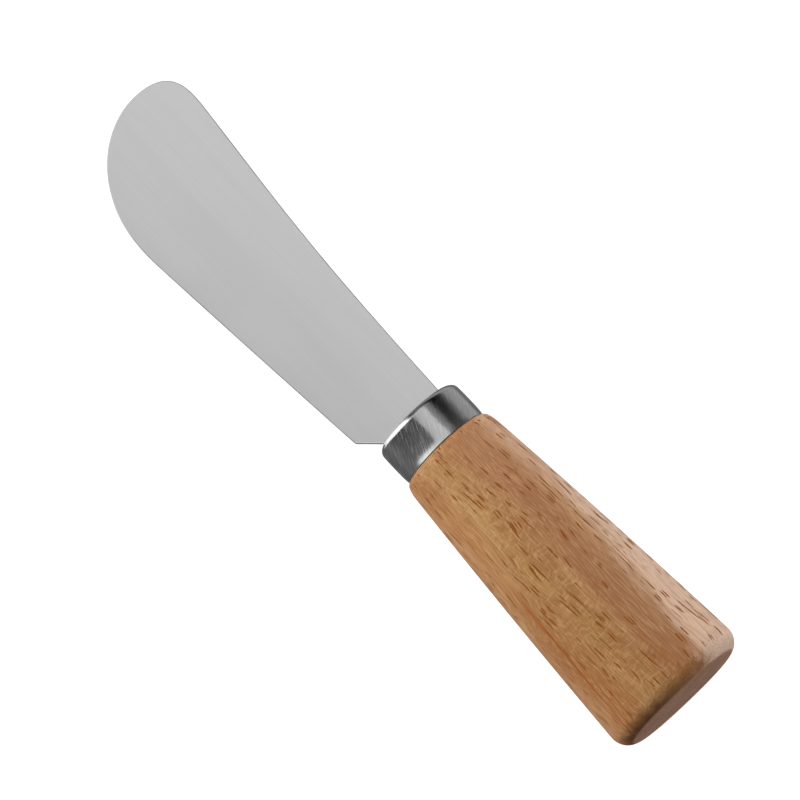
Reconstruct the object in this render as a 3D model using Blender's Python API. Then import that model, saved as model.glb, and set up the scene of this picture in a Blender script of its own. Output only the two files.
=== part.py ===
"""A short, broad-bladed palette knife with an oval wooden handle and a drawn steel ferrule.

Metres, +Z up. The origin is the centre of the flat butt end of the handle. X runs along the handle
to the tip of the blade, the blade lies flat in the XY plane, and its round spreading edge is on +Y.
"""

import math

import bmesh
import bpy
from mathutils import Vector
from mathutils.geometry import interpolate_bezier

MM = 0.001
FIT_GAP = 0.3 * MM  # room between two pieces that touch

# Handle: an oval wooden grip that widens towards the butt, with a turned-down tenon at its front
SHOULDER_X = 55.3 * MM
BUTT_HALF_WIDTH = 12.75 * MM
BUTT_HALF_THICKNESS = 8.15 * MM
FRONT_HALF_WIDTH = 8.87 * MM
FRONT_HALF_THICKNESS = 6.3 * MM
WIDTH_CROWN = 0.22 * MM
THICKNESS_CROWN = 0.15 * MM
BUTT_EDGE_RADIUS = 3.2 * MM
SHOULDER_DROP = 0.6 * MM
SHOULDER_LENGTH = 2.4 * MM
BUTT_SQUARENESS = 2.35
FRONT_SQUARENESS = 2.0
TENON_LENGTH = 5.2 * MM
TENON_CHAMFER = 0.4 * MM

# Ferrule: an oval cup drawn from thin sheet, its front corner rounded, with a slot for the neck
FERRULE_REAR_X = SHOULDER_X + FIT_GAP
FERRULE_LENGTH = 7.2 * MM
FERRULE_FRONT_X = FERRULE_REAR_X + FERRULE_LENGTH
FERRULE_HALF_WIDTH = 8.12 * MM
FERRULE_HALF_THICKNESS = 5.85 * MM
FERRULE_WALL = 0.5 * MM
FERRULE_FRONT_RADIUS = 1.0 * MM

# Blade: stamped from one sheet with its neck and tang, and ground a little thinner past the neck
TIP_X = 134.9 * MM
BLADE_THICKNESS = 0.9 * MM
TANG_THICKNESS = 1.0 * MM
EDGE_BEVEL = 0.22 * MM
NECK_HALF_WIDTH = 5.5 * MM
NECK_END_X = FERRULE_FRONT_X - 1.6 * MM
TANG_HALF_WIDTH = 2.2 * MM
TANG_END_X = 33.0 * MM
TANG_NOTCH_RADIUS = 0.6 * MM
TANG_NOTCHES_X = (38.0 * MM, 44.0 * MM)
TANG_END_CHAMFER = 0.8 * MM
NECK_OVERLAP = 0.4 * MM
GRIND_LINE_X = FERRULE_FRONT_X + FIT_GAP

# The blade's outline: the spine on -Y, the round tip, the spreading edge on +Y, and the heel
TIP_Y = -2.6 * MM
SPINE_START_Y = -5.6 * MM
SPINE_START_SLOPE = -0.028
SPINE_END = (125.6 * MM, -10.0 * MM)
SPINE_SLOPE = -0.10
BELLY = (111.4 * MM, 13.4 * MM)
BELLY_SLOPE = 0.07
HEEL = (66.6 * MM, 10.0 * MM)
HEEL_SLOPE = 0.078
HEEL_RADIUS = 0.5 * MM

# How far each curve of the outline is drawn straight on from its two ends
SPINE_PULL = (34 * MM, 21 * MM)
CORNER_PULL = (5 * MM, 7.4 * MM)
BELLY_PULL = (7.5 * MM, 16 * MM)
EDGE_PULL = (20 * MM, 12 * MM)

# Bore for the tang, drilled into the front of the tenon and filled with epoxy
BORE_RADIUS = 3.5 * MM
BORE_END_X = 30.0 * MM
DRILL_POINT_ANGLE = math.radians(118)

RING_POINTS = 56
BORE_POINTS = 32
CURVE_STEPS = 12
HEEL_STEPS = 4
NOTCH_STEPS = 6
BUTT_EDGE_STEPS = 6
TAPER_STEPS = 8
SHOULDER_STEPS = 4
CUP_CORNER_STEPS = 5
EDGE_BEVEL_STEPS = 2
SMOOTH_ANGLE = math.radians(35)
EDGE_ANGLE = math.radians(60)


def clear_scene():
    for old in list(bpy.data.objects):
        bpy.data.objects.remove(old, do_unlink=True)


def metal(name, color, roughness):
    return principled(name, color, roughness, 1.0)


def principled(name, color, roughness, metallic):
    material = bpy.data.materials.new(name)
    material.use_nodes = True
    shader = material.node_tree.nodes["Principled BSDF"]
    shader.inputs["Base Color"].default_value = (*color, 1.0)
    shader.inputs["Roughness"].default_value = roughness
    shader.inputs["Metallic"].default_value = metallic
    return material


def object_from(bm, name, material=None):
    """Turns a bmesh into a linked object whose faces point outwards."""
    bmesh.ops.recalc_face_normals(bm, faces=bm.faces)
    mesh = bpy.data.meshes.new(name)
    bm.to_mesh(mesh)
    bm.free()
    obj = bpy.data.objects.new(name, mesh)
    bpy.context.scene.collection.objects.link(obj)
    if material:
        mesh.materials.append(material)
        mesh.shade_smooth()
        mesh.set_sharp_from_angle(angle=SMOOTH_ANGLE)
    return obj


def cutter_from(bm, name):
    """A helper for a Boolean, which isn't part of the knife."""
    cutter = object_from(bm, name)
    cutter.hide_render = True
    cutter.display_type = "WIRE"
    return cutter


def combine(obj, other, operation):
    boolean = obj.modifiers.new(f"{operation.title()} {other.name}", "BOOLEAN")
    boolean.object = other
    boolean.operation = operation
    boolean.solver = "EXACT"


def oval(x, half_width, half_thickness, squareness=2.0, points=RING_POINTS):
    """A superellipse across the knife at x. A squareness of 2 is an ellipse, and more is boxier."""
    ring = []
    for i in range(points):
        angle = 2 * math.pi * i / points
        c, s = math.cos(angle), math.sin(angle)
        y = half_width * math.copysign(abs(c) ** (2 / squareness), c)
        z = half_thickness * math.copysign(abs(s) ** (2 / squareness), s)
        ring.append(Vector((x, y, z)))
    return ring


def loft(rings):
    """A closed body through a row of rings, with a flat cap on the first and on the last."""
    bm = bmesh.new()
    rows = [[bm.verts.new(point) for point in ring] for ring in rings]
    for row, following in zip(rows, rows[1:]):
        for i in range(len(row)):
            j = (i + 1) % len(row)
            bm.faces.new((row[i], row[j], following[j], following[i]))
    bm.faces.new(rows[0])
    bm.faces.new(rows[-1])
    return bm


def plate(outline, thickness):
    """A flat sheet piece of this outline, centred on the XY plane."""
    bm = bmesh.new()
    corners = [bm.verts.new((x, y, -thickness / 2)) for x, y in outline]
    bottom = bm.faces.new(corners)
    top = bmesh.ops.extrude_face_region(bm, geom=[bottom])
    raised = [item for item in top["geom"] if isinstance(item, bmesh.types.BMVert)]
    bmesh.ops.translate(bm, verts=raised, vec=(0, 0, thickness))
    return bm


def box(x0, x1, half_width, half_thickness):
    return plate(
        [(x0, -half_width), (x1, -half_width), (x1, half_width), (x0, half_width)],
        2 * half_thickness,
    )


def quarter_turn(steps):
    """Pairs (cosine, sine) from 0 to 90 degrees, both ends included."""
    angles = [math.pi / 2 * k / steps for k in range(steps + 1)]
    return [(math.cos(a), math.sin(a)) for a in angles]


def grip_size(x):
    """Half width, half thickness and squareness of the grip at x, before its ends are rounded."""
    u = 1 - x / SHOULDER_X
    crown = 4 * u * (1 - u)
    width = FRONT_HALF_WIDTH + u * (BUTT_HALF_WIDTH - FRONT_HALF_WIDTH) + WIDTH_CROWN * crown
    rise = BUTT_HALF_THICKNESS - FRONT_HALF_THICKNESS
    thickness = FRONT_HALF_THICKNESS + u * rise + THICKNESS_CROWN * crown
    squareness = FRONT_SQUARENESS + u * (BUTT_SQUARENESS - FRONT_SQUARENESS)
    return width, thickness, squareness


def grip_ring(x, inset):
    width, thickness, squareness = grip_size(x)
    return oval(x, width - inset, thickness - inset, squareness)


def bore_cutter():
    """The drilled hole for the tang, open past the tenon, with a drill's cone at its end."""
    mouth = oval(SHOULDER_X + 2 * TENON_LENGTH, BORE_RADIUS, BORE_RADIUS, points=BORE_POINTS)
    floor = oval(BORE_END_X, BORE_RADIUS, BORE_RADIUS, points=BORE_POINTS)
    bm = bmesh.new()
    rows = [[bm.verts.new(point) for point in ring] for ring in (mouth, floor)]
    cone = BORE_RADIUS / math.tan(DRILL_POINT_ANGLE / 2)
    point = bm.verts.new((BORE_END_X - cone, 0, 0))
    for i in range(BORE_POINTS):
        j = (i + 1) % BORE_POINTS
        bm.faces.new((rows[0][i], rows[0][j], rows[1][j], rows[1][i]))
        bm.faces.new((rows[1][i], rows[1][j], point))
    bm.faces.new(rows[0])
    return cutter_from(bm, "bore_cutter")


def make_handle(material):
    rings = []
    for c, s in quarter_turn(BUTT_EDGE_STEPS):
        inset = BUTT_EDGE_RADIUS * (1 - s)
        rings.append(grip_ring(BUTT_EDGE_RADIUS * (1 - c), inset))
    taper_end = SHOULDER_X - SHOULDER_LENGTH
    taper_length = taper_end - BUTT_EDGE_RADIUS
    for k in range(1, TAPER_STEPS):
        rings.append(grip_ring(BUTT_EDGE_RADIUS + taper_length * k / TAPER_STEPS, 0))
    for c, s in quarter_turn(SHOULDER_STEPS):
        rings.append(grip_ring(taper_end + SHOULDER_LENGTH * s, SHOULDER_DROP * (1 - c)))

    tenon_width = FERRULE_HALF_WIDTH - FERRULE_WALL - FIT_GAP
    tenon_thickness = FERRULE_HALF_THICKNESS - FERRULE_WALL - FIT_GAP
    tenon_end = SHOULDER_X + TENON_LENGTH
    rings.append(oval(SHOULDER_X, tenon_width, tenon_thickness))
    rings.append(oval(tenon_end - TENON_CHAMFER, tenon_width, tenon_thickness))
    rings.append(oval(tenon_end, tenon_width - TENON_CHAMFER, tenon_thickness - TENON_CHAMFER))
    handle = object_from(loft(rings), "handle", material)
    combine(handle, bore_cutter(), "DIFFERENCE")
    return handle


def cup_rings(inset, front_x, radius):
    """The cup's skin from its rear rim to its flat front, moved in by inset all round."""
    width = FERRULE_HALF_WIDTH - inset
    thickness = FERRULE_HALF_THICKNESS - inset
    rings = [oval(FERRULE_REAR_X, width, thickness)]
    for c, s in quarter_turn(CUP_CORNER_STEPS):
        drop = radius * (1 - c)
        rings.append(oval(front_x - radius * (1 - s), width - drop, thickness - drop))
    return rings


def make_ferrule(material):
    """The outer skin runs forward and the inner skin back, joined at the rear rim."""
    outer = cup_rings(0, FERRULE_FRONT_X, FERRULE_FRONT_RADIUS)
    inner_radius = FERRULE_FRONT_RADIUS - FERRULE_WALL
    inner = cup_rings(FERRULE_WALL, FERRULE_FRONT_X - FERRULE_WALL, inner_radius)
    ferrule = object_from(loft(list(reversed(inner)) + outer), "ferrule", material)
    slot = box(
        NECK_END_X,
        FERRULE_FRONT_X + FERRULE_WALL,
        NECK_HALF_WIDTH + FIT_GAP,
        TANG_THICKNESS / 2 + FIT_GAP,
    )
    combine(ferrule, cutter_from(slot, "slot_cutter"), "DIFFERENCE")
    return ferrule


def bezier(start, start_handle, end_handle, end, steps=CURVE_STEPS):
    points = [Vector((*p, 0)) for p in (start, start_handle, end_handle, end)]
    curve = interpolate_bezier(*points, steps + 1)
    return [(p.x, p.y) for p in curve]


def along(point, slope, distance):
    """The point this far along X on the straight line through point."""
    return (point[0] + distance, point[1] + slope * distance)


def blade_outline():
    """Counterclockwise from the neck: the spine, the round tip, the spreading edge and the heel."""
    neck = (GRIND_LINE_X, SPINE_START_Y)
    tip = (TIP_X, TIP_Y)
    heel_start = along(HEEL, HEEL_SLOPE, HEEL_RADIUS)
    heel_end = (HEEL[0] - HEEL_RADIUS, HEEL[1] - HEEL_RADIUS)
    chamfer_end = (GRIND_LINE_X, HEEL[1] - (HEEL[0] - GRIND_LINE_X))
    spine = bezier(
        neck,
        along(neck, SPINE_START_SLOPE, SPINE_PULL[0]),
        along(SPINE_END, SPINE_SLOPE, -SPINE_PULL[1]),
        SPINE_END,
    )
    corner = bezier(
        SPINE_END,
        along(SPINE_END, SPINE_SLOPE, CORNER_PULL[0]),
        (TIP_X, TIP_Y - CORNER_PULL[1]),
        tip,
    )
    belly = bezier(
        tip,
        (TIP_X, TIP_Y + BELLY_PULL[0]),
        along(BELLY, BELLY_SLOPE, BELLY_PULL[1]),
        BELLY,
    )
    edge = bezier(
        BELLY,
        along(BELLY, BELLY_SLOPE, -EDGE_PULL[0]),
        along(HEEL, HEEL_SLOPE, EDGE_PULL[1]),
        heel_start,
    )
    heel = bezier(heel_start, HEEL, HEEL, heel_end, HEEL_STEPS)
    return spine[:-1] + corner[:-1] + belly[:-1] + edge[:-1] + heel + [chamfer_end]


def notch_points(x):
    """A half-round bite out of the tang's +Y edge, walked towards the butt."""
    points = []
    for k in range(NOTCH_STEPS + 1):
        angle = math.pi * k / NOTCH_STEPS
        dx = TANG_NOTCH_RADIUS * math.cos(angle)
        points.append((x + dx, TANG_HALF_WIDTH - TANG_NOTCH_RADIUS * math.sin(angle)))
    return points


def tang_outline():
    """The neck, which overlaps the blade a little, and the notched tang. Both halves match."""
    upper = [
        (GRIND_LINE_X + NECK_OVERLAP, NECK_HALF_WIDTH),
        (NECK_END_X, NECK_HALF_WIDTH),
        (NECK_END_X, TANG_HALF_WIDTH),
    ]
    for x in reversed(TANG_NOTCHES_X):
        upper += notch_points(x)
    upper += [
        (TANG_END_X + TANG_END_CHAMFER, TANG_HALF_WIDTH),
        (TANG_END_X, TANG_HALF_WIDTH - TANG_END_CHAMFER),
    ]
    return upper + [(x, -y) for x, y in reversed(upper)]


def make_blade(material):
    blade = object_from(plate(blade_outline(), BLADE_THICKNESS), "blade", material)
    bevel = blade.modifiers.new("Edge bevel", "BEVEL")
    bevel.width = EDGE_BEVEL
    bevel.segments = EDGE_BEVEL_STEPS
    bevel.limit_method = "ANGLE"
    bevel.angle_limit = EDGE_ANGLE
    tang = cutter_from(plate(tang_outline(), TANG_THICKNESS), "tang_stock")
    combine(blade, tang, "UNION")
    return blade


def make_tang_epoxy(material):
    """The set epoxy: a plug that fills the bore round the tang, and a pad in front of the tenon."""
    plug_radius = BORE_RADIUS - FIT_GAP
    pad_rear = SHOULDER_X + TENON_LENGTH + FIT_GAP
    pad_front = FERRULE_FRONT_X - FERRULE_WALL - FIT_GAP
    pad_inset = FERRULE_WALL + 2 * FIT_GAP
    rings = [
        oval(BORE_END_X + FIT_GAP, plug_radius, plug_radius),
        oval(pad_rear, plug_radius, plug_radius),
    ]
    for x in (pad_rear, pad_front):
        width = FERRULE_HALF_WIDTH - pad_inset
        rings.append(oval(x, width, FERRULE_HALF_THICKNESS - pad_inset))
    epoxy = object_from(loft(rings), "tang_epoxy", material)

    half_slot = TANG_THICKNESS / 2 + FIT_GAP
    past_front = FERRULE_FRONT_X
    tang_room = box(TANG_END_X - FIT_GAP, past_front, TANG_HALF_WIDTH + FIT_GAP, half_slot)
    neck_room = box(NECK_END_X - FIT_GAP, past_front, NECK_HALF_WIDTH + FIT_GAP, half_slot)
    combine(epoxy, cutter_from(tang_room, "tang_room_cutter"), "DIFFERENCE")
    combine(epoxy, cutter_from(neck_room, "neck_room_cutter"), "DIFFERENCE")
    return epoxy


def main():
    clear_scene()
    make_blade(metal("satin_steel", (0.60, 0.60, 0.60), 0.38))
    make_ferrule(metal("polished_steel", (0.66, 0.66, 0.67), 0.16))
    make_handle(principled("rubberwood", (0.52, 0.31, 0.16), 0.42, 0.0))
    make_tang_epoxy(principled("epoxy", (0.62, 0.55, 0.38), 0.30, 0.0))


main()
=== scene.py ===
import math

import bmesh
import bpy
from mathutils import Matrix, Vector
from mathutils.geometry import interpolate_bezier


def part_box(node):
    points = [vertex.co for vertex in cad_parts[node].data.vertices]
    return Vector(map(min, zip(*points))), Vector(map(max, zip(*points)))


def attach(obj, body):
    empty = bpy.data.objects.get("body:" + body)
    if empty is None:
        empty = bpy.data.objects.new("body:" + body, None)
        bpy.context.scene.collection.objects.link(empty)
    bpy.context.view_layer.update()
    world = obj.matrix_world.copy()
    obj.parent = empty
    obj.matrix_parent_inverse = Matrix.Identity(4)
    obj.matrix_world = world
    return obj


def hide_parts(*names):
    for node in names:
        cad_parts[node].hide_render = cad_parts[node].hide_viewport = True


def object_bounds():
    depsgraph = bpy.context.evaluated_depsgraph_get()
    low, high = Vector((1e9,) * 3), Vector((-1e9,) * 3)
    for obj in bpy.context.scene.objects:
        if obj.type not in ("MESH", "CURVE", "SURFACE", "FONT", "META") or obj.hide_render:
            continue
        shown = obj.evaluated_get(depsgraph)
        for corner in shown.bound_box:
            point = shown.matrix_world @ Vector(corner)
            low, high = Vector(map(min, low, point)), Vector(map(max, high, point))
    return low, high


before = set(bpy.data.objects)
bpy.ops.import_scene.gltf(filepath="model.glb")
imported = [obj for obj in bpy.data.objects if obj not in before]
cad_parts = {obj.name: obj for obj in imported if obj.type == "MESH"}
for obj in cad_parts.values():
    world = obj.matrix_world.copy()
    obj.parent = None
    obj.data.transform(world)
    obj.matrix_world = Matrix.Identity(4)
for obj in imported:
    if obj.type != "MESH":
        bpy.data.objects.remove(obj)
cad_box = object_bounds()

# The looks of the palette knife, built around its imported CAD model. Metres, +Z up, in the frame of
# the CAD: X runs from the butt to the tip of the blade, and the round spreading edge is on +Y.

MM = 0.001

# What the CAD says
HANDLE_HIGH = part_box("handle")[1]
FERRULE_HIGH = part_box("ferrule")[1]
BLADE_LOW, BLADE_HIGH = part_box("blade")

# Handle
SHOULDER_X = 55.3 * MM
BUTT_HALF_WIDTH = 12.75 * MM
BUTT_HALF_THICKNESS = 8.15 * MM
FRONT_HALF_WIDTH = 8.87 * MM
FRONT_HALF_THICKNESS = 6.3 * MM
WIDTH_CROWN = 0.22 * MM
THICKNESS_CROWN = 0.15 * MM
BUTT_EDGE_RADIUS = 3.2 * MM
SHOULDER_DROP = 0.6 * MM
SHOULDER_LENGTH = 2.4 * MM
BUTT_SQUARENESS = 2.35
FRONT_SQUARENESS = 2.0
TENON_INSET = 0.8 * MM
TENON_CHAMFER = 0.4 * MM
BORE_RADIUS = 3.5 * MM
BORE_END_X = 30.0 * MM
DRILL_POINT_LENGTH = 2.1 * MM

# Ferrule. Its front corner, crown, rear roll and seam are the looks only, not the CAD's
SEAM = 0.12 * MM  # the dark line between the wood and the ferrule
FERRULE_WALL = 0.5 * MM
FERRULE_FRONT_RADIUS = 1.2 * MM
REAR_ROLL_LENGTH = 1.6 * MM
REAR_ROLL_DROP = 0.2 * MM
WALL_CROWN = 0.09 * MM
SLOT_HALF_WIDTH = 5.58 * MM
SLOT_HALF_HEIGHT = 0.54 * MM
SLOT_SQUARENESS = 9.0
SLOT_EDGE = 0.08 * MM

# Blade
BLADE_THICKNESS = 0.9 * MM
EDGE_RADIUS = 0.16 * MM
FLAT_MARGIN = 0.06 * MM
NECK_HALF_WIDTH = 5.5 * MM
NECK_END_X = 61.2 * MM
TANG_HALF_WIDTH = 2.2 * MM
TANG_END_CHAMFER = 0.8 * MM
TANG_NOTCH_RADIUS = 0.6 * MM
TANG_NOTCHES_X = (38.0 * MM, 44.0 * MM)
GRIND_LINE_X = 63.1 * MM
TIP_Y = -2.6 * MM
SPINE_START_Y = -5.6 * MM
SPINE_START_SLOPE = -0.028
SPINE_END = (125.6 * MM, -10.0 * MM)
SPINE_SLOPE = -0.10
BELLY = (111.4 * MM, 13.4 * MM)
BELLY_SLOPE = 0.07
HEEL = (66.6 * MM, 10.0 * MM)
HEEL_SLOPE = 0.078
HEEL_RADIUS = 0.5 * MM
SPINE_PULL = (34 * MM, 21 * MM)
CORNER_PULL = (5 * MM, 7.4 * MM)
BELLY_PULL = (7.5 * MM, 16 * MM)
EDGE_PULL = (20 * MM, 12 * MM)

# How finely the curved shapes are divided
RING_POINTS = 160
BUTT_RING_SHARES = (0.15, 0.4, 0.65, 0.85, 0.96)
BUTT_EDGE_STEPS = 12
TAPER_STEPS = 36
SHOULDER_STEPS = 10
THIN_EDGE_STEPS = 4
FERRULE_ROUND_STEPS = 14
FERRULE_WALL_STEPS = 8
NOTCH_STEPS = 8
SPINE_STEPS = 40
CORNER_STEPS = 36
BELLY_STEPS = 48
SPREADING_EDGE_STEPS = 40
HEEL_STEPS = 6
SMOOTH_ANGLE = math.radians(40)

FLOOR_HALF = 3.0
FLOOR_THICKNESS = 10 * MM
FLOOR_SQUARES = 8
FLOOR_GLOW = 0.88  # bright enough that almost no shadow shows, as in a cut-out photograph

# Camera: straight over the knife but 15 degrees towards the butt, and turned so that the blade
# points to the upper left
CAMERA_TARGET = Vector((66.73 * MM, -0.05 * MM, 0))
CAMERA_DISTANCE = 0.8
CAMERA_TILT = math.radians(15)
CAMERA_ROLL = math.radians(46.3)
SENSOR = 36.0
LENS = 224.64


# ---------------------------------------------------------------- shapes


def object_from(bm, name):
    """Turns a closed bmesh into a linked, smooth-shaded object whose faces point outwards."""
    bmesh.ops.recalc_face_normals(bm, faces=bm.faces)
    mesh = bpy.data.meshes.new(name)
    bm.to_mesh(mesh)
    bm.free()
    mesh.shade_smooth()
    mesh.set_sharp_from_angle(angle=SMOOTH_ANGLE)
    obj = bpy.data.objects.new(name, mesh)
    bpy.context.scene.collection.objects.link(obj)
    return obj


def oval(x, half_width, half_thickness, squareness=2.0):
    """A superellipse across the knife at x. A squareness of 2 is an ellipse, and more is boxier."""
    ring = []
    for i in range(RING_POINTS):
        angle = 2 * math.pi * i / RING_POINTS
        c, s = math.cos(angle), math.sin(angle)
        y = half_width * math.copysign(abs(c) ** (2 / squareness), c)
        z = half_thickness * math.copysign(abs(s) ** (2 / squareness), s)
        ring.append(Vector((x, y, z)))
    return ring


def between(ring, other, share):
    return [a.lerp(b, share) for a, b in zip(ring, other)]


def strip(bm, row, following):
    for i in range(len(row)):
        j = (i + 1) % len(row)
        bm.faces.new((row[i], row[j], following[j], following[i]))


def loft(rings, start=None, end=None):
    """A skin through a row of rings. It closes on the two end points, or else on itself."""
    bm = bmesh.new()
    rows = [[bm.verts.new(point) for point in ring] for ring in rings]
    for row, following in zip(rows, rows[1:]):
        strip(bm, row, following)
    if start is None:
        strip(bm, rows[-1], rows[0])
        return bm
    for row, point in ((rows[0], start), (rows[-1], end)):
        apex = bm.verts.new(point)
        for i in range(len(row)):
            bm.faces.new((row[i], row[(i + 1) % len(row)], apex))
    return bm


def quarter_turn(steps):
    """Pairs (cosine, sine) from 0 to 90 degrees, both ends included."""
    angles = [math.pi / 2 * k / steps for k in range(steps + 1)]
    return [(math.cos(a), math.sin(a)) for a in angles]


# ---------------------------------------------------------------- handle


def grip_ring(x, inset=0.0, share=1.0):
    """The grip's outline at x, moved in by inset and then shrunk to a share of its size."""
    u = 1 - x / SHOULDER_X
    crown = 4 * u * (1 - u)
    width = FRONT_HALF_WIDTH + u * (BUTT_HALF_WIDTH - FRONT_HALF_WIDTH) + WIDTH_CROWN * crown
    rise = BUTT_HALF_THICKNESS - FRONT_HALF_THICKNESS
    thickness = FRONT_HALF_THICKNESS + u * rise + THICKNESS_CROWN * crown
    squareness = FRONT_SQUARENESS + u * (BUTT_SQUARENESS - FRONT_SQUARENESS)
    return oval(x, share * (width - inset), share * (thickness - inset), squareness)


def make_handle():
    """Grip, shoulder, tenon and blind bore: one skin from the butt's centre to the bore's point."""
    rings = [grip_ring(0.0, BUTT_EDGE_RADIUS, share) for share in BUTT_RING_SHARES]
    for c, s in quarter_turn(BUTT_EDGE_STEPS):
        rings.append(grip_ring(BUTT_EDGE_RADIUS * (1 - c), BUTT_EDGE_RADIUS * (1 - s)))
    taper_end = SHOULDER_X - SHOULDER_LENGTH
    for k in range(1, TAPER_STEPS):
        share = k / TAPER_STEPS
        rings.append(grip_ring(BUTT_EDGE_RADIUS + share * (taper_end - BUTT_EDGE_RADIUS)))
    for c, s in quarter_turn(SHOULDER_STEPS):
        rings.append(grip_ring(taper_end + SHOULDER_LENGTH * s, SHOULDER_DROP * (1 - c)))
    width, thickness = FERRULE_HIGH.y - TENON_INSET, FERRULE_HIGH.z - TENON_INSET
    tenon_end = HANDLE_HIGH.x
    rings.append(oval(SHOULDER_X, width, thickness))
    rings.append(oval(tenon_end - TENON_CHAMFER, width, thickness))
    rings.append(oval(tenon_end, width - TENON_CHAMFER, thickness - TENON_CHAMFER))
    for x in (tenon_end, BORE_END_X):
        rings.append(oval(x, BORE_RADIUS, BORE_RADIUS))
    point = Vector((BORE_END_X - DRILL_POINT_LENGTH, 0, 0))
    return object_from(loft(rings, Vector((0, 0, 0)), point), "wood_handle")


# ---------------------------------------------------------------- ferrule


def cup_ring(x, inset):
    return oval(x, FERRULE_HIGH.y - inset, FERRULE_HIGH.z - inset)


def wall_ring(x, inset):
    """Like cup_ring, but on the outside, which is crowned a little between its two ends."""
    rear, front = SHOULDER_X + SEAM, FERRULE_HIGH.x
    v = (x - rear) / (front - rear)
    return cup_ring(x, inset - WALL_CROWN * 4 * v * (1 - v))


def make_ferrule():
    """A drawn cup: rolled-in rear rim, wall, rounded front corner and slot, in one skin."""
    rear, front = SHOULDER_X + SEAM, FERRULE_HIGH.x
    rings = []
    lip = FERRULE_WALL - REAR_ROLL_DROP
    for c, s in quarter_turn(THIN_EDGE_STEPS):
        rings.append(cup_ring(rear + lip * (1 - s), REAR_ROLL_DROP + lip * c))
    for c, s in quarter_turn(FERRULE_ROUND_STEPS)[1:]:
        rings.append(wall_ring(rear + REAR_ROLL_LENGTH * (1 - c), REAR_ROLL_DROP * (1 - s)))
    wall_start = rear + REAR_ROLL_LENGTH
    corner_start = front - FERRULE_FRONT_RADIUS
    for k in range(1, FERRULE_WALL_STEPS):
        step = (corner_start - wall_start) * k / FERRULE_WALL_STEPS
        rings.append(wall_ring(wall_start + step, 0))
    for c, s in quarter_turn(FERRULE_ROUND_STEPS):
        drop = FERRULE_FRONT_RADIUS * (1 - c)
        rings.append(wall_ring(corner_start + FERRULE_FRONT_RADIUS * s, drop))

    mouth = oval(front, SLOT_HALF_WIDTH, SLOT_HALF_HEIGHT, SLOT_SQUARENESS)
    wider, higher = SLOT_HALF_WIDTH + SLOT_EDGE, SLOT_HALF_HEIGHT + SLOT_EDGE
    slot_rim = oval(front, wider, higher, SLOT_SQUARENESS)
    rings += [between(rings[-1], slot_rim, 0.5), slot_rim]
    inner_face = front - FERRULE_WALL
    rings.append([point - Vector((SLOT_EDGE, 0, 0)) for point in mouth])
    rings.append([Vector((inner_face, point.y, point.z)) for point in mouth])
    inner_radius = FERRULE_FRONT_RADIUS - FERRULE_WALL
    for c, s in reversed(quarter_turn(THIN_EDGE_STEPS)):
        drop = FERRULE_WALL + inner_radius * (1 - c)
        rings.append(cup_ring(inner_face - inner_radius * (1 - s), drop))
    return object_from(loft(rings), "steel_ferrule")


# ---------------------------------------------------------------- blade


def bezier(start, start_handle, end_handle, end, steps):
    points = [Vector((*p, 0)) for p in (start, start_handle, end_handle, end)]
    return [(p.x, p.y) for p in interpolate_bezier(*points, steps + 1)]


def along(point, slope, distance):
    """The point this far along X on the straight line through point."""
    return (point[0] + distance, point[1] + slope * distance)


def notch_points(x):
    points = []
    for k in range(NOTCH_STEPS + 1):
        angle = math.pi * k / NOTCH_STEPS
        dx = TANG_NOTCH_RADIUS * math.cos(angle)
        points.append((x + dx, TANG_HALF_WIDTH - TANG_NOTCH_RADIUS * math.sin(angle)))
    return points


def tang_points():
    """The neck and the notched tang, from the blade's +Y side round to its -Y side."""
    upper = [
        (GRIND_LINE_X, NECK_HALF_WIDTH),
        (NECK_END_X, NECK_HALF_WIDTH),
        (NECK_END_X, TANG_HALF_WIDTH),
    ]
    for x in reversed(TANG_NOTCHES_X):
        upper += notch_points(x)
    upper += [
        (BLADE_LOW.x + TANG_END_CHAMFER, TANG_HALF_WIDTH),
        (BLADE_LOW.x, TANG_HALF_WIDTH - TANG_END_CHAMFER),
    ]
    return upper + [(x, -y) for x, y in reversed(upper)]


def blade_outline():
    """Counterclockwise: the spine, the round tip, the spreading edge, the heel and the tang."""
    tip_x = BLADE_HIGH.x
    neck = (GRIND_LINE_X, SPINE_START_Y)
    tip = (tip_x, TIP_Y)
    heel_start = along(HEEL, HEEL_SLOPE, HEEL_RADIUS)
    heel_end = (HEEL[0] - HEEL_RADIUS, HEEL[1] - HEEL_RADIUS)
    chamfer_end = (GRIND_LINE_X, HEEL[1] - (HEEL[0] - GRIND_LINE_X))
    curves = (
        (neck, along(neck, SPINE_START_SLOPE, SPINE_PULL[0]),
         along(SPINE_END, SPINE_SLOPE, -SPINE_PULL[1]), SPINE_END, SPINE_STEPS),
        (SPINE_END, along(SPINE_END, SPINE_SLOPE, CORNER_PULL[0]),
         (tip_x, TIP_Y - CORNER_PULL[1]), tip, CORNER_STEPS),
        (tip, (tip_x, TIP_Y + BELLY_PULL[0]),
         along(BELLY, BELLY_SLOPE, BELLY_PULL[1]), BELLY, BELLY_STEPS),
        (BELLY, along(BELLY, BELLY_SLOPE, -EDGE_PULL[0]),
         along(HEEL, HEEL_SLOPE, EDGE_PULL[1]), heel_start, SPREADING_EDGE_STEPS),
        (heel_start, HEEL, HEEL, heel_end, HEEL_STEPS),
    )
    outline = []
    for *points, steps in curves:
        outline += bezier(*points, steps)[:-1]
    return outline + [heel_end, chamfer_end] + tang_points()


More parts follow.
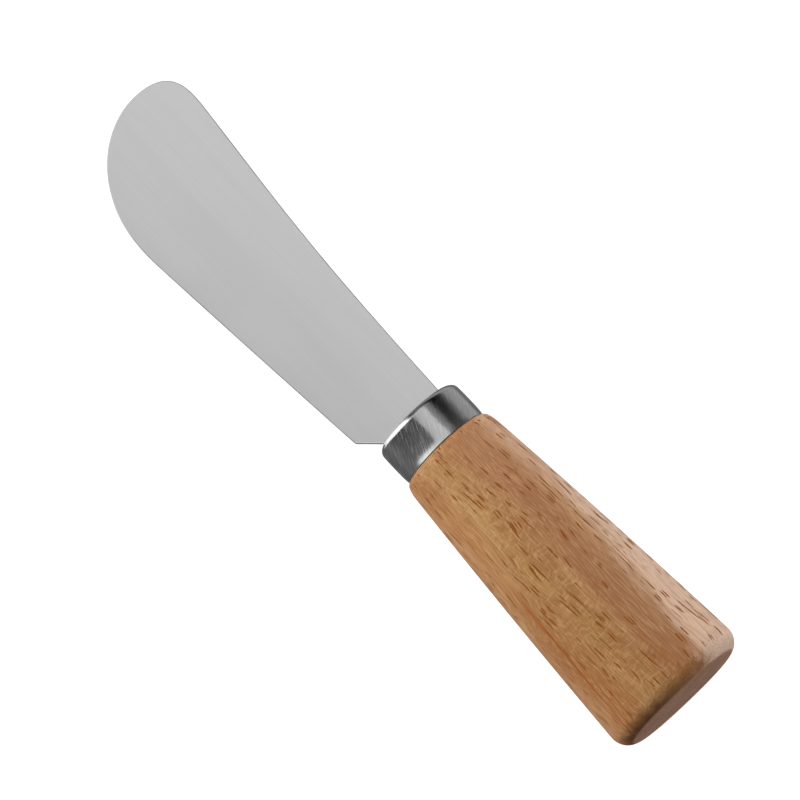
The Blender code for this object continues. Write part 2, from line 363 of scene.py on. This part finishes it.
def inset_outline(outline, distance):
    """The outline moved in by distance, each corner along the bisector of its two edges."""
    moved = []
    for i, here in enumerate(outline):
        before, after = Vector(outline[i - 1]), Vector(outline[(i + 1) % len(outline)])
        first = (Vector(here) - before).normalized()
        second = (after - Vector(here)).normalized()
        inward = Vector((-first.y - second.y, first.x + second.x))
        moved.append(Vector(here) + inward * distance / (1 + first.dot(second)))
    return moved


def make_blade():
    """One flat sheet with rounded edges. A narrow flat strip keeps the broad faces flat-shaded."""
    outline = blade_outline()
    half = BLADE_THICKNESS / 2
    levels = [(EDGE_RADIUS + FLAT_MARGIN, half)]
    for c, s in reversed(quarter_turn(THIN_EDGE_STEPS)):
        levels.append((EDGE_RADIUS * (1 - c), half - EDGE_RADIUS * (1 - s)))
    levels += [(inset, -z) for inset, z in reversed(levels)]
    bm = bmesh.new()
    rows = []
    for inset, z in levels:
        rows.append([bm.verts.new((p.x, p.y, z)) for p in inset_outline(outline, inset)])
    for row, following in zip(rows, rows[1:]):
        strip(bm, row, following)
    bm.faces.new(rows[0])
    bm.faces.new(rows[-1])
    return object_from(bm, "steel_blade")


# ---------------------------------------------------------------- materials


class Nodes:
    """Builds one material's node tree. Each method returns the socket that it makes."""

    def __init__(self, name):
        self.material = bpy.data.materials.new(name)
        self.material.use_nodes = True
        self.tree = self.material.node_tree
        self.shader = self.tree.nodes["Principled BSDF"]
        self.place = self.node("ShaderNodeTexCoord").outputs["Object"]

    def node(self, kind, inputs=None, **settings):
        node = self.tree.nodes.new(kind)
        for name, value in settings.items():
            setattr(node, name, value)
        for name, value in (inputs or {}).items():
            self.feed(node.inputs[name], value)
        return node

    def feed(self, socket, value):
        if isinstance(value, bpy.types.NodeSocket):
            self.tree.links.new(value, socket)
        else:
            socket.default_value = value

    def surface(self, **inputs):
        for name, value in inputs.items():
            self.feed(self.shader.inputs[name.replace("_", " ")], value)

    def stretch(self, vector, cells, turn=0.0):
        """Coordinates counted in cells of this size in millimetres along X, Y and Z."""
        scale = [1 / (size * MM) for size in cells]
        turned = self.node("ShaderNodeMapping", {"Vector": vector, "Rotation": (0, 0, turn)})
        return self.node(
            "ShaderNodeMapping", {"Vector": turned.outputs[0], "Scale": scale}
        ).outputs[0]

    def noise(self, vector, cells, detail=2.0, turn=0.0):
        inputs = {
            "Vector": self.stretch(vector, cells, turn),
            "Scale": 1.0,
            "Detail": detail,
        }
        return self.node("ShaderNodeTexNoise", inputs).outputs[0]

    def math(self, operation, a, b=0.0):
        node = self.node("ShaderNodeMath", operation=operation)
        self.feed(node.inputs[0], a)
        self.feed(node.inputs[1], b)
        return node.outputs[0]

    def remap(self, value, low, high, new_low=0.0, new_high=1.0):
        inputs = {
            "Value": value,
            "From Min": low,
            "From Max": high,
            "To Min": new_low,
            "To Max": new_high,
        }
        return self.node("ShaderNodeMapRange", inputs, interpolation_type="SMOOTHSTEP").outputs[0]

    def product(self, *values):
        result = values[0]
        for value in values[1:]:
            result = self.math("MULTIPLY", result, value)
        return result

    def mix(self, share, a, b, blend="MIX"):
        node = self.node("ShaderNodeMix", data_type="RGBA", blend_type=blend)
        self.feed(node.inputs[0], share)
        for socket, value in ((node.inputs[6], a), (node.inputs[7], b)):
            self.feed(socket, value if isinstance(value, bpy.types.NodeSocket) else (*value, 1))
        return node.outputs[2]

    def ramp(self, value, stops):
        node = self.node("ShaderNodeValToRGB", {"Fac": value})
        elements = node.color_ramp.elements
        while len(elements) < len(stops):
            elements.new(0.5)
        for element, (position, color) in zip(elements, stops):
            element.position = position
            element.color = (*color, 1)
        return node.outputs[0]

    def bump(self, height, distance, strength=1.0, normal=None):
        inputs = {"Height": height, "Distance": distance, "Strength": strength}
        if normal is not None:
            inputs["Normal"] = normal
        return self.node("ShaderNodeBump", inputs).outputs[0]

    def axes(self, vector=None):
        return self.node("ShaderNodeSeparateXYZ", {0: vector or self.place}).outputs


def srgb(red, green, blue):
    """A colour given as 0 to 255, in the linear values that shaders take."""
    scaled = [channel / 255 for channel in (red, green, blue)]
    return tuple(c / 12.92 if c <= 0.04045 else ((c + 0.055) / 1.055) ** 2.4 for c in scaled)


def gray(value):
    return (value, value, value)


def blade_steel():
    """Satin sheet, brushed along its length, with a few cloudy patches and fine stray scratches."""
    n = Nodes("satin_blade_steel")
    brushed = n.noise(n.place, (26, 0.16, 0.16), detail=4)
    broad = n.noise(n.place, (70, 2.6, 2.6), detail=2)
    clouds = n.noise(n.place, (17, 12, 12), detail=3)
    scratches = n.remap(n.noise(n.place, (9, 0.09, 0.3), detail=1, turn=0.12), 0.70, 0.80)
    tone = n.mix(n.remap(broad, 0.3, 0.7), gray(0.785), gray(0.815))
    tone = n.mix(n.remap(brushed, 0.3, 0.7, 0.0, 0.6), tone, gray(0.765))
    tone = n.mix(n.product(scratches, 0.25), tone, gray(0.92))
    roughness = n.remap(brushed, 0.25, 0.75, 0.30, 0.37)
    roughness = n.math("ADD", roughness, n.remap(clouds, 0.3, 0.7, -0.02, 0.03))
    n.surface(Base_Color=tone, Metallic=1.0, Roughness=roughness)
    n.surface(Normal=n.bump(brushed, 0.004 * MM, 0.5))
    return n.material


def ferrule_steel():
    """Polished drawn steel, with the fine slanting lines that the buffing leaves."""
    n = Nodes("polished_ferrule_steel")
    y = n.axes()[1]
    lines = n.noise(n.place, (3.0, 0.20, 3.0), detail=2, turn=0.46)
    fine = n.noise(n.place, (2.0, 0.16, 2.0), detail=1, turn=0.52)
    dents = n.noise(n.place, (2.8, 2.4, 2.4), detail=2)
    grime = n.noise(n.place, (1.4, 1.0, 1.0), detail=4)
    marks = n.remap(n.noise(n.place, (2.6, 0.18, 2.6), detail=1, turn=0.46), 0.48, 0.70)
    worn = n.product(marks, n.remap(y, -0.5 * MM, 1.5 * MM, 0.12, 1.0))
    tone = n.mix(n.remap(lines, 0.35, 0.68), gray(0.49), gray(0.57))
    tone = n.mix(n.remap(grime, 0.40, 0.70, 0.0, 0.5), tone, gray(0.50))
    tone = n.mix(n.product(worn, 0.60), tone, gray(0.80))
    roughness = n.remap(fine, 0.3, 0.7, 0.14, 0.20)
    roughness = n.math("ADD", roughness, n.product(worn, 0.08))
    n.surface(Base_Color=tone, Metallic=1.0, Roughness=roughness)
    normal = n.bump(dents, 0.05 * MM, 0.6)
    n.surface(Normal=n.bump(lines, 0.005 * MM, 0.7, normal))
    return n.material


def pores(n, grain, cells, width, share, turn=0.0):
    """Short open vessels along the grain. About this share of the cells holds one."""
    inputs = {"Vector": n.stretch(grain, cells, turn), "Scale": 1.0}
    cell = n.node("ShaderNodeTexVoronoi", inputs)
    ragged = n.noise(grain, (0.9, 0.12, 0.12), detail=1)
    reach = n.math("ADD", cell.outputs["Distance"], n.remap(ragged, 0.3, 0.7, -0.07, 0.07))
    dash = n.remap(reach, width, width * 0.7)
    chosen = n.axes(cell.outputs["Color"])[0]
    return n.product(dash, n.remap(chosen, 1 - share, 1 - share + 0.10))


def bent_grain(n):
    """Coordinates whose lines wander a little off the handle's axis, as grain does."""
    noise = {"Vector": n.stretch(n.place, (30, 9, 9)), "Scale": 1.0, "Detail": 2.0}
    drift = n.node("ShaderNodeTexNoise", noise).outputs["Color"]
    centred = n.node("ShaderNodeVectorMath", {0: drift, 1: gray(0.5)}, operation="SUBTRACT")
    sideways = {0: centred.outputs[0], 1: (0, 5.0 * MM, 5.0 * MM)}
    shift = n.node("ShaderNodeVectorMath", sideways, operation="MULTIPLY")
    bent = {0: n.place, 1: shift.outputs[0]}
    return n.node("ShaderNodeVectorMath", bent, operation="ADD").outputs[0]


WOOD_WIDTH = 24 * MM  # across which the bands are spread
# Partly painted light: the pale pink -Y end is a painted sheen, and the lighter flanks stand in for
# light falling on the sides.
WOOD_BANDS_AND_PAINTED_LIGHT = (  # from the -Y edge of the handle to its +Y edge
    (0.00, (214, 178, 152)),
    (0.12, (212, 174, 146)),
    (0.22, (194, 148, 112)),
    (0.34, (180, 129, 90)),
    (0.44, (174, 121, 78)),
    (0.53, (184, 137, 90)),
    (0.64, (190, 146, 92)),
    (0.73, (196, 152, 100)),
    (0.82, (187, 134, 83)),
    (0.92, (197, 146, 100)),
    (1.00, (208, 158, 114)),
)


def wood_ground(n, grain, across, x, y):
    """The wood's colour without its pores: bands with painted light in them, darker patches, a
    painted sheen, fibres and a cross ripple.
    """
    bands = [(position, srgb(*color)) for position, color in WOOD_BANDS_AND_PAINTED_LIGHT]
    from_edge = n.math("ADD", across, WOOD_WIDTH / 2)
    color = n.ramp(n.math("DIVIDE", from_edge, WOOD_WIDTH), bands)
    # Darker towards the butt.
    deeper = n.remap(x, 52 * MM, 14 * MM, 0.18, 0.95)
    color = n.mix(deeper, color, (0.70, 0.64, 0.52), "MULTIPLY")
    patches = n.remap(n.noise(grain, (16, 2.2, 2.2), detail=3), 0.40, 0.66)
    color = n.mix(n.product(patches, 0.38), color, srgb(150, 92, 48))
    glow = n.remap(n.noise(grain, (20, 3.0, 3.0), detail=2, turn=0.05), 0.52, 0.70)
    color = n.mix(n.product(glow, 0.28), color, srgb(212, 170, 116))
    # A painted sheen: a pale strip along the -Y side, widening and lightening towards the butt.
    slant = n.math("ADD", y, n.product(x, 0.075))
    wavering = n.remap(n.noise(grain, (7, 1.2, 1.2), detail=2), 0.3, 0.7, -0.8 * MM, 0.8 * MM)
    pale = n.remap(n.math("ADD", slant, wavering), -5.0 * MM, -8.4 * MM, 0.0, 0.85)
    painted_sheen_color = n.mix(n.remap(x, 3.5 * MM, 1 * MM), srgb(225, 192, 168), srgb(242, 212, 192))
    color = n.mix(pale, color, painted_sheen_color)
    fibres = n.noise(grain, (4.5, 0.15, 0.15), detail=4)
    color = n.mix(n.remap(fibres, 0.42, 0.66, 0.0, 0.38), color, srgb(140, 82, 40))
    color = n.mix(n.remap(fibres, 0.50, 0.32, 0.0, 0.24), color, srgb(226, 186, 138))

    middle = n.product(n.remap(across, -4 * MM, 0.5 * MM), n.remap(across, 8 * MM, 4.5 * MM))
    arcs = n.noise(grain, (9.0, 3.0, 3.0), detail=1)
    bowed = n.math("ADD", n.math("DIVIDE", x, 0.46 * MM), n.product(arcs, 5.0))
    bowed = n.math("ADD", bowed, n.math("DIVIDE", across, 2.4 * MM))
    rows = n.node("ShaderNodeCombineXYZ", {0: bowed, 1: n.math("DIVIDE", across, 1.7 * MM)})
    ripple = n.node(
        "ShaderNodeTexNoise", {"Vector": rows.outputs[0], "Scale": 1.0, "Detail": 2.0}
    ).outputs[0]
    light, dark = n.remap(ripple, 0.50, 0.66), n.remap(ripple, 0.48, 0.34)
    color = n.mix(n.product(middle, light, 0.20), color, srgb(214, 182, 128))
    return n.mix(n.product(middle, dark, 0.16), color, srgb(132, 88, 48)), fibres


def handle_wood():
    """Lacquered rubberwood: bands of tan, a painted sheen, open pores, a butt rim of stain and
    painted shade, end grain.
    """
    n = Nodes("rubberwood")
    grain = bent_grain(n)
    x, y, _ = n.axes()
    across = n.axes(grain)[1]
    color, fibres = wood_ground(n, grain, across, x, y)

    upper = n.remap(y, 9 * MM, 4 * MM, 0.80, 1.0)
    clusters = n.remap(n.noise(n.place, (12, 3.2, 3.2), detail=1), 0.26, 0.40)
    short = pores(n, grain, (3.4, 0.42, 0.42), 0.41, 0.30, 0.03)
    long = pores(n, grain, (7.5, 0.50, 0.50), 0.37, 0.24, -0.03)
    tiny = pores(n, grain, (1.7, 0.24, 0.24), 0.36, 0.24)
    inland = n.remap(x, 1.2 * MM, 3.2 * MM)
    open_pores = n.product(n.math("MAXIMUM", short, long), clusters, n.product(upper, inland))
    color = n.mix(n.product(tiny, inland, 0.40), color, srgb(150, 92, 42))
    color = n.mix(n.product(open_pores, 0.95), color, srgb(138, 72, 6))

    lines = n.remap(n.noise(n.place, (46, 0.42, 5.0), detail=1, turn=0.075), 0.56, 0.62)
    near_edge = n.product(n.remap(y, 6.5 * MM, 8.5 * MM), n.remap(x, 40 * MM, 16 * MM))
    color = n.mix(n.product(lines, near_edge, 0.75), color, srgb(150, 76, 26))

    # A dark rim round the butt's rounded edge, darkest on the +Y side: partly end grain darkened by
    # its lacquer, partly painted shade.
    clouds = n.noise(n.place, (3.0, 1.6, 1.6), detail=3)
    rim = n.math("ADD", x, n.remap(clouds, 0.3, 0.7, -0.25 * MM, 0.25 * MM))
    rim = n.product(n.remap(rim, 2.3 * MM, 0.1 * MM), n.remap(y, -9 * MM, 6 * MM, 0.10, 0.95))
    color = n.mix(rim, color, srgb(84, 42, 8))
    end_grain = n.remap(x, 0.30 * MM, 0.02 * MM)
    speckle = n.remap(n.noise(n.place, (1.5, 0.22, 0.22), detail=3), 0.40, 0.62)
    color = n.mix(n.product(end_grain, 0.92), color, srgb(182, 136, 108))
    rings = n.remap(n.noise(n.place, (6.0, 5.0, 0.7), detail=2, turn=0.3), 0.40, 0.62)
    color = n.mix(n.product(end_grain, rings, 0.45), color, srgb(126, 84, 60))
    color = n.mix(n.product(end_grain, speckle, 0.75), color, srgb(104, 64, 42))

    roughness = n.remap(fibres, 0.25, 0.75, 0.34, 0.46)
    roughness = n.math("ADD", roughness, n.product(open_pores, 0.2))
    n.surface(Base_Color=color, Roughness=roughness, Coat_Weight=0.05, Coat_Roughness=0.25)
    n.surface(Specular_IOR_Level=0.25)
    normal = n.bump(n.math("SUBTRACT", 1.0, open_pores), 0.08 * MM, 0.7)
    n.surface(Normal=n.bump(fibres, 0.02 * MM, 0.6, normal))
    return n.material


def epoxy():
    """Set adhesive, amber and a little cloudy, with small bubbles."""
    n = Nodes("amber_epoxy")
    clouds = n.noise(n.place, (4, 2, 2), detail=3)
    cell = n.node("ShaderNodeTexVoronoi", {"Vector": n.stretch(n.place, gray(0.7)), "Scale": 1.0})
    bubbles = n.remap(cell.outputs["Distance"], 0.28, 0.16)
    tone = n.mix(n.remap(clouds, 0.3, 0.7), srgb(196, 170, 112), srgb(214, 192, 140))
    tone = n.mix(n.product(bubbles, 0.5), tone, srgb(232, 218, 180))
    n.surface(Base_Color=tone, Roughness=n.remap(clouds, 0.3, 0.7, 0.22, 0.38))
    n.surface(Normal=n.bump(bubbles, 0.08 * MM, 0.5))
    return n.material


def floor_paint():
    """Pale seamless paper, very slightly mottled."""
    n = Nodes("pale_paper")
    mottle = n.noise(n.place, (40, 40, 40), detail=3)
    n.surface(Base_Color=n.mix(mottle, gray(0.48), gray(0.52)), Roughness=0.9)
    n.surface(Emission_Color=(1, 1, 1, 1), Emission_Strength=FLOOR_GLOW)
    return n.material


# ---------------------------------------------------------------- studio


def make_floor():
    bm = bmesh.new()
    squares = {"x_segments": FLOOR_SQUARES, "y_segments": FLOOR_SQUARES}
    bmesh.ops.create_grid(bm, size=FLOOR_HALF, **squares)
    top = bmesh.ops.extrude_face_region(bm, geom=list(bm.faces))
    sunk = [item for item in top["geom"] if isinstance(item, bmesh.types.BMVert)]
    bmesh.ops.translate(bm, verts=sunk, vec=(0, 0, -FLOOR_THICKNESS))
    floor = object_from(bm, "floor")
    floor.location.z = cad_box[0].z
    floor.data.materials.append(floor_paint())
    floor.visible_glossy = False


def area_light(name, place, aim, size, radiance, glossy=True):
    """A plain rectangular softbox of this brightness, turned from its place to face a point."""
    light = bpy.data.lights.new(name, "AREA")
    light.shape = "RECTANGLE"
    light.size, light.size_y = size
    light.energy = radiance * math.pi * size[0] * size[1]
    obj = bpy.data.objects.new(name, light)
    obj.location = place
    obj.rotation_euler = (Vector(aim) - Vector(place)).to_track_quat("-Z", "Y").to_euler()
    obj.visible_camera = False
    obj.visible_glossy = glossy
    bpy.context.scene.collection.objects.link(obj)


def make_lights():
    """Two softboxes that the steel mirrors, and two that only light the wood and the floor."""
    area_light("top_strip", (0.15, -0.062, 0.35), (0.15, -0.062, 0), (0.60, 0.156), 0.64)
    area_light("blade_panel", (0.37, 0.11, 0.35), (0.37, 0.11, 0), (0.30, 0.18), 0.42)
    area_light("key", (0.42, -0.50, 0.62), (0.04, 0, 0), (0.8, 0.8), 2.25, glossy=False)
    area_light("fill", (0.20, 0.60, 0.35), (0.04, 0, 0), (0.6, 0.4), 1.25, glossy=False)


# Brightness all round the knife, by the angle in degrees from straight up towards +Y: leaning back
# over the butt, upright, and leaning ahead over the blade. The polished ferrule mirrors it.
SURROUND = (
    (-180, 0.20, 0.25, 0.25),
    (-128, 0.16, 0.22, 0.22),
    (-114, 0.30, 0.54, 0.54),
    (-98, 0.28, 0.50, 0.50),
    (-76, 0.22, 0.45, 0.38),
    (-66, 0.16, 0.29, 0.08),
    (-58, 0.12, 0.12, 0.03),
    (-50, 0.09, 0.06, 0.00),
    (-38, 0.09, 0.06, 0.00),
    (-31, 0.22, 0.34, 0.26),
    (-20, 0.34, 0.36, 0.36),
    (-4, 0.20, 0.20, 0.10),
    (8, 1.00, 0.17, 0.03),
    (24, 1.35, 0.20, 0.05),
    (48, 1.35, 0.20, 0.05),
    (62, 0.20, 0.17, 0.10),
    (88, 0.20, 0.22, 0.22),
    (104, 0.17, 0.17, 0.17),
    (130, 0.15, 0.15, 0.15),
    (180, 0.20, 0.25, 0.25),
)
FRONT_CARD = 2.0  # brightness of the white card low in front, on the +Y side


class WorldNodes(Nodes):
    """The same helper, for the world's own tree."""

    def __init__(self, world):
        world.use_nodes = True
        self.tree = world.node_tree
        self.place = self.node("ShaderNodeTexCoord").outputs["Generated"]


def make_world():
    """White to the camera. Reflections see darker and lighter strips along the knife instead."""
    world = bpy.data.worlds.new("studio")
    bpy.context.scene.world = world
    n = WorldNodes(world)
    x, y, z = n.axes()
    turn = n.math("ADD", n.math("DIVIDE", n.math("ARCTAN2", y, z), 2 * math.pi), 0.5)
    back, upright, ahead = (
        n.ramp(turn, [(row[0] / 360 + 0.5, gray(row[column])) for row in SURROUND])
        for column in (1, 2, 3)
    )
    strips = n.mix(n.remap(x, 0.16, 0.34), upright, ahead)
    overhead = n.product(n.remap(x, 0.12, -0.10), n.remap(x, -0.75, -0.55), n.remap(z, 0.15, 0.35))
    strips = n.mix(overhead, strips, back)
    below_butt = n.product(n.remap(x, -0.10, -0.30), n.remap(z, 0.10, -0.10))
    behind = n.math("MAXIMUM", n.remap(x, -0.55, -0.75), below_butt)
    strips = n.mix(behind, strips, gray(0.05))
    low_front = n.product(n.remap(x, 0.46, 0.56), n.remap(z, -0.48, -0.28))
    card = n.product(low_front, n.remap(y, 0.10, 0.18), n.remap(y, 0.82, 0.70))
    color = n.mix(card, strips, gray(FRONT_CARD))
    studio = n.tree.nodes["Background"]
    n.feed(studio.inputs["Color"], color)
    backdrop = n.node("ShaderNodeBackground", {"Color": (1, 1, 1, 1)})
    seen = n.node("ShaderNodeMixShader", {0: n.node("ShaderNodeLightPath").outputs[0]})
    n.feed(seen.inputs[1], studio.outputs[0])
    n.feed(seen.inputs[2], backdrop.outputs[0])
    n.feed(n.tree.nodes["World Output"].inputs["Surface"], seen.outputs[0])


def make_camera():
    """Looks along the tilted axis at the target, turned about it by the roll."""
    back = Vector((-math.sin(CAMERA_TILT), 0, math.cos(CAMERA_TILT)))
    to_butt = Vector((-math.cos(CAMERA_TILT), 0, -math.sin(CAMERA_TILT)))
    sideways = Vector((0, 1, 0))
    c, s = math.cos(CAMERA_ROLL), math.sin(CAMERA_ROLL)
    right = c * to_butt - s * sideways
    up = -(s * to_butt + c * sideways)
    camera = bpy.data.cameras.new("camera")
    camera.sensor_width = SENSOR
    camera.lens = LENS
    camera.clip_start, camera.clip_end = 0.01, 10.0
    obj = bpy.data.objects.new("camera", camera)
    turn = Matrix((right, up, back)).transposed().to_4x4()
    obj.matrix_world = Matrix.Translation(CAMERA_TARGET + CAMERA_DISTANCE * back) @ turn
    bpy.context.scene.collection.objects.link(obj)
    bpy.context.scene.camera = obj


# ---------------------------------------------------------------- assembly


def dress(piece, material, node):
    """Gives a new piece its material and its body, and lets it stand for a CAD node."""
    piece.data.materials.append(material)
    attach(piece, "root")
    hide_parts(node)


def main():
    dress(make_blade(), blade_steel(), "blade")
    dress(make_ferrule(), ferrule_steel(), "ferrule")
    dress(make_handle(), handle_wood(), "handle")
    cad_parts["tang_epoxy"].data.materials[0] = epoxy()
    make_floor()
    make_lights()
    make_world()
    make_camera()
    bpy.context.scene.view_settings.view_transform = "Standard"


main()
